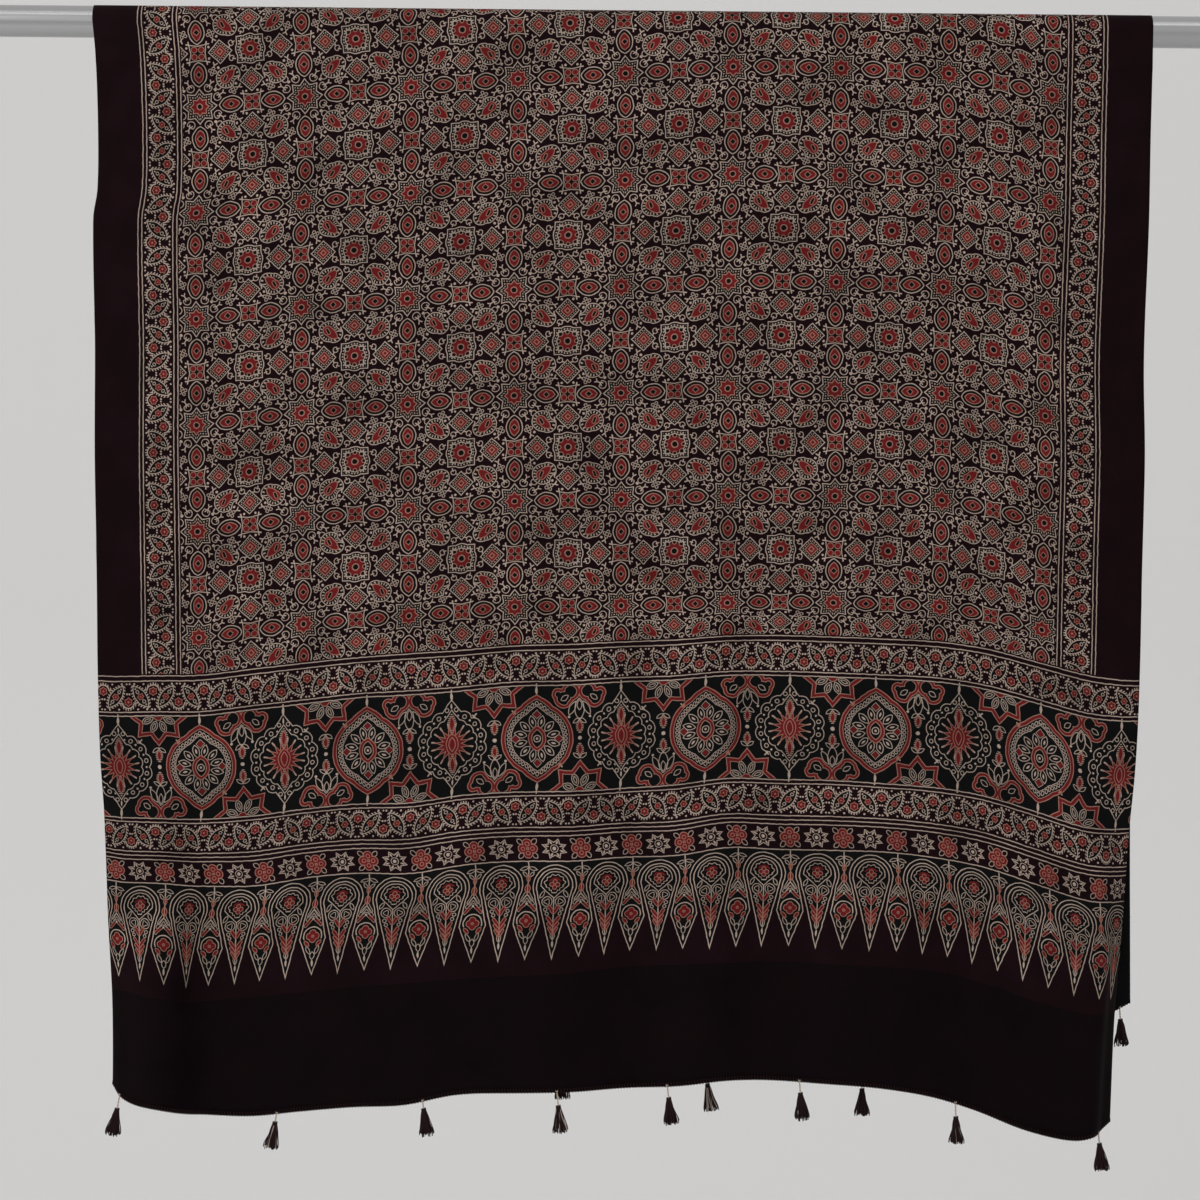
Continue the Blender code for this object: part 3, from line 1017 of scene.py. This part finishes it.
def flower_row(at, cream, red, black):
    down = end_distance(at)
    for line in (TRIPLE_LINE, TRIPLE_LINE + 4.2, TRIPLE_LINE + 8.6, SPEAR_LINE):
        cream.line(down - line, 1.35)
    step = to_and_fro(at.x - LOZENGE_ACROSS, SPEAR_STEP)
    level = abs(down - 202.3)
    red_flower = eighth(place(step, level))
    petal = disc(red_flower, 5.2, 0, 4.4)
    cream.line(petal, 1.1)
    red.fill(petal)
    cream.line(disc(red_flower, 4.7, 0, 1.9), 1.0)
    cream.line(lens(red_flower.moved(7.4, 7.0).turned(45).folded(), 3.2, 1.9), 0.9)
    pale = place(SPEAR_STEP - step, level)
    spoke = wheel(place(pale.x * 0.80, pale.y), 8)
    cream.line(spoke.along(0.50, 0.86) - 5.0, 1.05)
    cream.fill(lens(spoke.moved(6.4, 0).folded(), 1.9, 0.7))
    cream.line(pale.length - 3.6, 0.9)
    cream.fill(pale.length - 1.7)


# %% Spears
def teardrop(point, cream, red, black):
    """y runs down from the line that the spears hang from."""
    body = least(disc(point, 0, 25.3, 17.7), most(point.along(0.970, 0.241) - 23.9, 27.0 - point.y))
    cream.line(body, 1.3)
    black.fill(body)
    ogee = most(disc(point, 0, 24.0, 13.6), point.along(0.677, 0.736) - 27.6)
    cream.line(ogee, 1.1)
    ripple = math_node("COSINE", math_node("ARCTAN2", point.y - 24.0, point.x) * 12) * 0.6
    cream.line(ogee + 3.4 + ripple, 1.0)
    heart = point.moved(0, 23.6).folded()
    petals = disc(eighth(heart), 2.9, 0, 2.1)
    cream.line(petals, 0.9)
    red.fill(petals)
    red.fill(most(abs(point.to(0, 23.6) - 6.2) - 0.9, point.y - 20.5))
    curl = disc(point, 6.5, 41.0, 5.0)
    cream.line(curl, 1.0)
    cream.line(flower(point.moved(6.5, 41.0), 3, 2.5, 0.5), 0.9)
    cream.line(lens(point.moved(11.6, 33.5).turned(60).folded(), 4.0, 1.6), 0.9)
    cream.line(least(disc(point, 7.9, 49.2, 1.7), disc(point, 6.4, 53.4, 1.6)), 0.9)
    stem = stroke(point, 0, 37.5, 0, 79.0)
    cream.fill(stem - 0.45)
    for top, reach, length in ((46.0, 4.4, 6.0), (57.5, 5.4, 7.0), (63.5, 4.4, 6.0), (68.5, 3.4, 5.0)):
        blade = stroke(point, 0.4, top + length, reach, top)
        cream.line(blade - 1.5, 0.8)
        red.fill(blade - 1.3)
    cream.line(lens(place(abs(point.y - 76.0), point.x), 4.4, 2.0), 0.9)
    cream.fill(lens(place(abs(point.y - 84.5), point.x), 3.6, 0.9))


def lozenge_spear(point, beside, cream, red, black):
    """`point` has its middle on the spear, `beside` on the teardrop next to it."""
    arch = least(disc(beside, 0, 25.0, 21.3), most(-(point.along(0.982, -0.188)) + 0.9, 27.0 - point.y))
    body = most(-arch, point.along(0.940, 0.340) - 33.5)
    cream.line(body, 1.3)
    black.fill(body)
    cream.fill(stroke(point, 0, 0, 0, 34.0) - 0.5)
    cream.line(lens(point.moved(4.2, 7.4).turned(18).folded(), 4.4, 1.5), 0.9)
    cream.line(lens(point.moved(3.4, 13.2).turned(-48).folded(), 3.4, 1.3), 0.9)
    small_drop = lens(place(abs(point.y - 17.5), point.x), 3.4, 1.7)
    drop = least(small_drop, lens(place(abs(point.y - 27.5), point.x), 4.6, 2.5))
    cream.line(drop, 0.9)
    red.fill(drop)
    for top, reach in ((31.5, 5.0), (35.5, 6.2), (41.5, 8.0)):
        cream.line(stroke(point, 0.6, top, reach, top + 7.5) - 1.3, 0.8)
    red.fill(stroke(point, 3.6, 44.4, 7.2, 48.2) - 1.1)
    cream.fill(point.to(0, 42.5) - 1.1)
    heart = point.moved(0, 60.0).folded()
    petals = least(disc(eighth(heart), 3.2, 0, 3.2))
    cream.line(petals, 1.0)
    red.fill(petals)
    cream.line(heart.length - 1.2, 0.9)
    cream.fill(most(abs(point.to(0, 60.0) - 9.2) - 0.5, point.y - 63.0))
    red_leaf = lens(point.moved(6.2, 67.0).turned(-50).folded(), 3.6, 1.7)
    cream.line(red_leaf, 0.9)
    red.fill(red_leaf)
    cream.line(lens(point.moved(4.4, 74.0).turned(-62).folded(), 4.6, 1.6), 0.9)
    cream.line(lens(place(abs(point.y - 79.5), point.x), 3.8, 2.1), 0.9)
    cream.fill(lens(place(abs(point.y - 87.0), point.x), 3.6, 1.0))


def spears(at, cream, red, black):
    down = end_distance(at) - SPEAR_LINE
    cream.line(down, 1.35)
    step = to_and_fro(at.x - LOZENGE_ACROSS, SPEAR_STEP)
    middle = place(SPEAR_STEP - step, down)
    teardrop(middle, cream, red, black)
    lozenge_spear(place(step, down), middle, cream, red, black)
    black.fill(most(down - 24.0, -down))

# %% [markdown]
# ## Inks and cotton
# The blocks are laid over each other the way the dyer works: the ground is dyed maroon, black goes
# inside the motifs, then red, and the resist lines stay cream. Every edge bleeds a little along the
# yarns, so the coordinates wander by a third of a millimetre, and the dye takes unevenly from place to
# place. The weave is too fine to see at arm's length, so it is a small bump of two crossed waves.

# %% Dyes
CREAM = (0.34, 0.262, 0.215)
PINK = (0.26, 0.125, 0.092)
RED = (0.105, 0.0085, 0.0095)
BLACK = (0.0030, 0.0031, 0.0033)
MAROON = (0.0062, 0.0016, 0.0026)
HEM_MAROON = (0.0030, 0.0010, 0.0015)
BLEED = 0.45


def cover(distance, edge=BLEED):
    """How far a block covers a point: 1 well inside, 0 outside, and a soft edge between."""
    return math_node("MULTIPLY_ADD", distance, -1 / edge, 0.5, clamp=True)


def lay_over(tree, below, above, share):
    """Lays one colour over another."""
    node = tree.nodes.new("ShaderNodeMix")
    node.data_type = "RGBA"
    tree.links.new(share.socket, node.inputs["Factor"])
    for entry, colour in (("A", below), ("B", above)):
        socket = next(s for s in node.inputs if s.name == entry and s.type == "RGBA")
        if isinstance(colour, bpy.types.NodeSocket):
            tree.links.new(colour, socket)
        else:
            socket.default_value = (*colour, 1)
    return next(s for s in node.outputs if s.type == "RGBA")


def cotton(name, ground, pattern=None):
    """Printed cotton: a ground colour and, where there is one, the pattern that its blocks print."""
    material = bpy.data.materials.new(name)
    material.use_nodes = True
    tree = material.node_tree
    shader = tree.nodes["Principled BSDF"]
    shader.inputs["Roughness"].default_value = 0.85
    shader.inputs["Specular IOR Level"].default_value = 0.06
    own_map = tree.nodes.new("ShaderNodeUVMap")
    own_map.uv_map = "print"
    at = Place(own_map.outputs["UV"])
    cloth_mm = tree.nodes.new("ShaderNodeVectorMath")
    cloth_mm.operation = "SCALE"
    cloth_mm.inputs["Scale"].default_value = 1 / MM
    tree.links.new(at.socket, cloth_mm.inputs[0])
    at = Place(cloth_mm.outputs[0])

    cloud = tree.nodes.new("ShaderNodeTexNoise")
    cloud.noise_dimensions = "2D"
    cloud.inputs["Scale"].default_value = 0.021
    cloud.inputs["Detail"].default_value = 5
    tree.links.new(at.socket, cloud.inputs["Vector"])
    dye = math_node("MULTIPLY_ADD", Number(cloud.outputs[0]), 1.1, 0.45)

    colour = ground
    if pattern:
        wander = tree.nodes.new("ShaderNodeTexNoise")
        wander.noise_dimensions = "2D"
        wander.inputs["Scale"].default_value = 0.16
        wander.inputs["Detail"].default_value = 2
        tree.links.new(at.socket, wander.inputs["Vector"])
        shift = tree.nodes.new("ShaderNodeVectorMath")
        shift.operation = "MULTIPLY_ADD"
        tree.links.new(wander.outputs["Color"], shift.inputs[0])
        shift.inputs[1].default_value = (1.1, 1.1, 0)
        shift.inputs[2].default_value = (-0.55, -0.55, 0)
        at_print = Place(vector_node("ADD", Place(shift.outputs[0]), at).outputs[0])
        cream, red, black = Block(), Block(), Block()
        pattern(at_print, cream, red, black)
        if black.nearest is not None:
            colour = lay_over(tree, colour, BLACK, cover(black.nearest))
        line_colour = CREAM
        if red.nearest is not None:
            colour = lay_over(tree, colour, RED, cover(red.nearest))
            line_colour = lay_over(tree, CREAM, PINK, cover(red.nearest - 0.9, 1.2))
        colour = lay_over(tree, colour, line_colour, cover(cream.nearest))

    tint = tree.nodes.new("ShaderNodeMix")
    tint.data_type = "RGBA"
    tint.blend_type = "MULTIPLY"
    tint.inputs["Factor"].default_value = 1.0
    entries = [s for s in tint.inputs if s.type == "RGBA"]
    if isinstance(colour, bpy.types.NodeSocket):
        tree.links.new(colour, entries[0])
    else:
        entries[0].default_value = (*colour, 1)
    grey = tree.nodes.new("ShaderNodeCombineColor")
    for entry in grey.inputs:
        tree.links.new(dye.socket, entry)
    tree.links.new(grey.outputs[0], entries[1])
    tree.links.new(next(s for s in tint.outputs if s.type == "RGBA"), shader.inputs["Base Color"])

    weave = math_node("SINE", at.x * (2 * math.pi / 0.55)) * math_node("SINE", at.y * (2 * math.pi / 0.6))
    bump = tree.nodes.new("ShaderNodeBump")
    bump.inputs["Strength"].default_value = 0.25
    bump.inputs["Distance"].default_value = 0.06 * MM
    tree.links.new(weave.socket, bump.inputs["Height"])
    tree.links.new(bump.outputs["Normal"], shader.inputs["Normal"])
    return material

# %% [markdown]
# ## The cottons on the sheet
# Each region of the print has a cotton of its own, so no point works out a pattern that isn't there.
# The regions follow the printed lines, which are rows and columns of the mesh. The margins beside the
# field and the hem ends below the spears are left plain, as the printer leaves them.

# %% Cottons
COTTONS = (
    cotton("cotton_field", MAROON, field),
    cotton("cotton_side_border", MAROON, side_border),
    cotton("cotton_upper_leaves", MAROON, leaf_band(5.0, (FIRST_LINE, 5.0, 36.0))),
    cotton("cotton_medallions", MAROON, medallion_band),
    cotton("cotton_lower_leaves", MAROON, leaf_band(149.0, (BAND_LINE + 4.0, TRIPLE_LINE))),
    cotton("cotton_flowers", MAROON, flower_row),
    cotton("cotton_spears", MAROON, spears),
    cotton("cotton_margin", MAROON),
    cotton("cotton_hem", HEM_MAROON),
    cotton("cotton_reverse", BLACK),
)
FIELD, SIDE, MARGIN, HEM, REVERSE = 0, 1, 7, 8, 9
for material in COTTONS:
    cloth.data.materials.append(material)
print("nodes in each cotton:", [len(material.node_tree.nodes) for material in COTTONS])

# %% Give each face its cotton
corners = corner_places.reshape(-1, 4, 2).mean(axis=1) / MM
face_across = np.minimum(corners[:, 0], CLOTH_WIDTH - corners[:, 0])
face_down = np.maximum(corners[:, 1], BACK_FIRST_LINE - corners[:, 1])
region = np.where(face_across < LEFT_MARGIN_END, MARGIN, np.where(face_across < FIELD_LEFT, SIDE, FIELD))
for band, start in enumerate(FRONT_BANDS):
    region = np.where(face_down > start, 2 + band if band < 5 else HEM, region)
cloth.data.polygons.foreach_set("material_index", region)
print("faces in each cotton:", np.bincount(region).tolist())

# %% Thickness and reverse
bpy.ops.object.select_all(action="DESELECT")
cloth.select_set(True)
bpy.context.view_layer.objects.active = cloth
bpy.ops.object.shade_smooth()
thicken = cloth.modifiers.new("cotton_thickness", "SOLIDIFY")
thicken.thickness = CLOTH_THICKNESS * MM
thicken.offset = -1
thicken.material_offset = REVERSE
thicken.material_offset_rim = REVERSE
bpy.ops.object.modifier_apply(modifier=thicken.name)
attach(cloth, "root")
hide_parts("cloth")
print("cloth triangles:", sum(len(face.vertices) - 2 for face in cloth.data.polygons))

# %% [markdown]
# ## Threads
# The overlocked hems and the tassels are yarn. Each yarn is a curve with a round section, and all the
# yarns of one piece are curved together and then made one mesh. A textured tube would be cheaper, but
# the ends of loose strands and the gaps between them are what a tassel is.

# %% Yarn materials
def yarn_material(name, colour, roughness=0.8):
    """Spun cotton yarn, with fibres that catch a little light."""
    material = bpy.data.materials.new(name)
    material.use_nodes = True
    shader = material.node_tree.nodes["Principled BSDF"]
    shader.inputs["Base Color"].default_value = (*colour, 1)
    shader.inputs["Roughness"].default_value = roughness
    shader.inputs["Specular IOR Level"].default_value = 0.15
    return material


DARK_YARN = yarn_material("yarn_maroon", (0.016, 0.0052, 0.0062))
TIE_YARN = yarn_material("yarn_tie", (0.42, 0.33, 0.26))
PALE_YARN = yarn_material("yarn_pale", (0.30, 0.235, 0.20))
DARK, TIE, PALE = 0, 1, 2


def yarn_piece(name, yarns, materials, replaced=()):
    """One piece of yarns. Each yarn is its points and radius in millimetres, and its material's number."""
    curve = bpy.data.curves.new(name, "CURVE")
    curve.dimensions = "3D"
    curve.bevel_depth = MM
    curve.bevel_resolution = 1
    curve.use_fill_caps = True
    for material in materials:
        curve.materials.append(material)
    for points, radius, number in yarns:
        spline = curve.splines.new("POLY")
        spline.points.add(len(points) - 1)
        for knot, point in zip(spline.points, points):
            knot.co = (*(Vector(point) * MM), 1)
            knot.radius = radius
        spline.material_index = number
    piece = bpy.data.objects.new(name, curve)
    bpy.context.collection.objects.link(piece)
    bpy.ops.object.select_all(action="DESELECT")
    piece.select_set(True)
    bpy.context.view_layer.objects.active = piece
    bpy.ops.object.convert(target="MESH")
    piece = bpy.context.object
    bpy.ops.object.shade_smooth()
    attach(piece, "root")
    for node in replaced:
        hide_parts(node)
    return piece


# %% [markdown]
# ### Overlocked hems
# Both ends are overlocked: a dark thread wraps the edge in small even loops. It is one long yarn that
# goes over the edge and back, with a fine dip between one stitch and the next.

# %% Hem stitching
STITCH = 3.0
STITCH_DEEP = 3.4
THREAD_RADIUS = 0.42


def hem_row(row):
    """The sheet's end row, in millimetres, as points at every half stitch along it."""
    points = sheet_points[row] / MM
    run = np.concatenate([[0.0], np.cumsum(np.linalg.norm(np.diff(points, axis=0), axis=1))])
    at = np.linspace(0, run[-1], int(run[-1] / (STITCH / 2)) + 1)
    return np.stack([np.interp(at, run, points[:, k]) for k in range(3)], axis=1)


def overlock(name, row, outward):
    """The wrapping thread of one hem. `outward` is the y direction in which the printed face looks."""
    yarn = []
    for k, (x, y, z) in enumerate(hem_row(row)):
        if k % 2:
            yarn += [(x, y - 0.5 * outward, z + STITCH_DEEP), (x, y - 0.9 * outward, z)]
        else:
            yarn += [(x, y, z - 0.6), (x, y + 0.5 * outward, z), (x, y + 0.5 * outward, z + STITCH_DEEP)]
    return yarn_piece(name, [(yarn, THREAD_RADIUS, DARK)], [DARK_YARN])


hems = [overlock("front_hem_stitching", 0, -1), overlock("back_hem_stitching", -1, 1)]
print("hem stitching:", [len(hem.data.polygons) for hem in hems], "faces")

# %% [markdown]
# ### Tassels
# A tassel is a skein of cut yarn, bound at the neck and tied through the hem with a cream thread. Each
# hangs from its own place on the hem and swings its own way. The strands fill the skein's outline and
# splay at its foot.

# %% Tassel tables
FRONT_TASSELS = (
    # across the cloth, length of the tie, swing of the foot in degrees
    (13, 13, -10), (191, 8, -9), (339, 7, 8), (473, 13, 6), (586, 11, 7), (721, 11, 5), (881, 13, 2), (1036, 10, 6),
)
BACK_TASSELS = (
    (12, 10, 3), (150, 11, -4), (318, 9, 4), (459, 11, 5), (610, 13, 9), (771, 12, 0), (905, 10, -3), (1048, 11, 4),
)
SKEIN = (
    # below the neck, radius
    (0, 1.5), (3, 2.6), (12, 4.7), (23, 8.0), (27, 7.8),
)
SKEIN_LENGTH = 27.0
SKEIN_FLATTEN = 0.62
STRANDS = 46
STRAND_RADIUS = 0.5
NECK_TURNS = 3
STREAKED = {"front_tassel_2": 0.14, "front_tassel_4": 0.12, "front_tassel_7": 0.10, "back_tassel_5": 0.24}
GOLDEN_ANGLE = math.radians(137.5)


def skein_strands(chance, streak):
    """The loose strands below the neck, each with its own place in the skein and its own wave."""
    strands = []
    for k in range(STRANDS):
        out, angle = math.sqrt((k + 0.5) / STRANDS), k * GOLDEN_ANGLE
        length = SKEIN_LENGTH * chance.uniform(0.86, 1.03)
        wave, phase = chance.uniform(0.2, 0.7), chance.uniform(0, 2 * math.pi)
        points = []
        for step in range(9):
            below = length * step / 8
            radius = float(smooth_curve(column(SKEIN, 0), column(SKEIN, 1), [below])[0]) * out
            drift = wave * math.sin(below / 5 + phase) * min(below / 8, 1)
            points.append((radius * math.cos(angle) + drift, radius * math.sin(angle) * SKEIN_FLATTEN, -below))
        pale = out > 0.5 and math.sin(angle) < 0.1 and chance.random() < streak * 2
        strands.append((points, STRAND_RADIUS, PALE if pale else DARK))
    return strands


def neck_wrap():
    """The turns of yarn that bind the skein's neck."""
    points = []
    for step in range(NECK_TURNS * 10 + 1):
        angle = step / 10 * 2 * math.pi
        points.append((2.1 * math.cos(angle), 1.9 * math.sin(angle), 0.4 - step * 0.11))
    return points, 0.6, DARK


def tie_threads(tie):
    """The two ends of the tie, twisted together, and the loop that goes through the hem."""
    yarns = []
    for side in (-1, 1):
        points = []
        for step in range(13):
            up = tie * step / 12
            turn = math.pi * step / 3 + (side > 0) * math.pi
            points.append((0.45 * math.cos(turn), 0.45 * math.sin(turn), up))
        yarns.append((points, 0.42, TIE))
    loop = []
    for angle in np.linspace(0, 2 * math.pi, 12):
        loop.append((math.sin(angle), 0.2 - 1.3 * math.cos(angle), tie + 1.0 + 1.9 * math.sin(angle / 2)))
    return yarns + [(loop, 0.42, TIE)]


def make_tassel(name, node, hang, tie, swing):
    """A whole tassel, which hangs from a point on the hem."""
    chance = random.Random(name)
    turned = Matrix.Rotation(math.radians(-swing), 3, "Y")
    yarns = skein_strands(chance, STREAKED.get(name, 0)) + [neck_wrap()] + tie_threads(tie)
    placed = []
    for points, radius, number in yarns:
        hung = [hang + turned @ (Vector(point) - Vector((0, 0, tie))) for point in points]
        placed.append((hung, radius, number))
    return yarn_piece(name, placed, [DARK_YARN, TIE_YARN, PALE_YARN], [node])


# %% Hang the tassels
def hang_tassels(side, table, row):
    """The tassels of one hem. Each stands below the edge, at its own share of the hem's width."""
    hem = sheet_points[row] / MM
    made = []
    for k, (across, tie, swing) in enumerate(table, start=1):
        x, y, z = (float(np.interp(across, columns, hem[:, axis])) for axis in range(3))
        hang = Vector((x, y, z - 0.5))
        made.append(make_tassel(f"{side}_tassel_{k}", f"tassel_{side}_{k}", hang, tie, swing))
    return made


tassels = hang_tassels("front", FRONT_TASSELS, 0) + hang_tassels("back", BACK_TASSELS, -1)
print(len(tassels), "tassels of", len(tassels[0].data.polygons), "faces")

# %% [markdown]
# ## The rod
# The rod is a bright steel tube. The frame's own rod has the right form, so it only needs a finish:
# steel with fine lines drawn along it, which blur what it reflects, and faint marks of handling.

# %% Rod steel
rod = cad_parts["rod"]
steel = bpy.data.materials.new("bright_steel")
steel.use_nodes = True
steel_tree = steel.node_tree
steel_shader = steel_tree.nodes["Principled BSDF"]
steel_shader.inputs["Base Color"].default_value = (0.42, 0.42, 0.425, 1)
steel_shader.inputs["Metallic"].default_value = 1.0
object_place = steel_tree.nodes.new("ShaderNodeTexCoord")
stretch = steel_tree.nodes.new("ShaderNodeVectorMath")
stretch.operation = "MULTIPLY"
stretch.inputs[1].default_value = (3.0, 900.0, 900.0)
marks = steel_tree.nodes.new("ShaderNodeTexNoise")
marks.inputs["Scale"].default_value = 1.0
marks.inputs["Detail"].default_value = 3
roughness = steel_tree.nodes.new("ShaderNodeMapRange")
roughness.inputs["To Min"].default_value = 0.16
roughness.inputs["To Max"].default_value = 0.30
steel_tree.links.new(object_place.outputs["Object"], stretch.inputs[0])
steel_tree.links.new(stretch.outputs[0], marks.inputs["Vector"])
steel_tree.links.new(marks.outputs[0], roughness.inputs["Value"])
steel_tree.links.new(roughness.outputs["Result"], steel_shader.inputs["Roughness"])
rod.data.materials.clear()
rod.data.materials.append(steel)
bpy.ops.object.select_all(action="DESELECT")
rod.select_set(True)
bpy.context.view_layer.objects.active = rod
bpy.ops.object.shade_smooth_by_angle(angle=math.radians(30))
print("rod finish:", rod.data.materials[0].name)
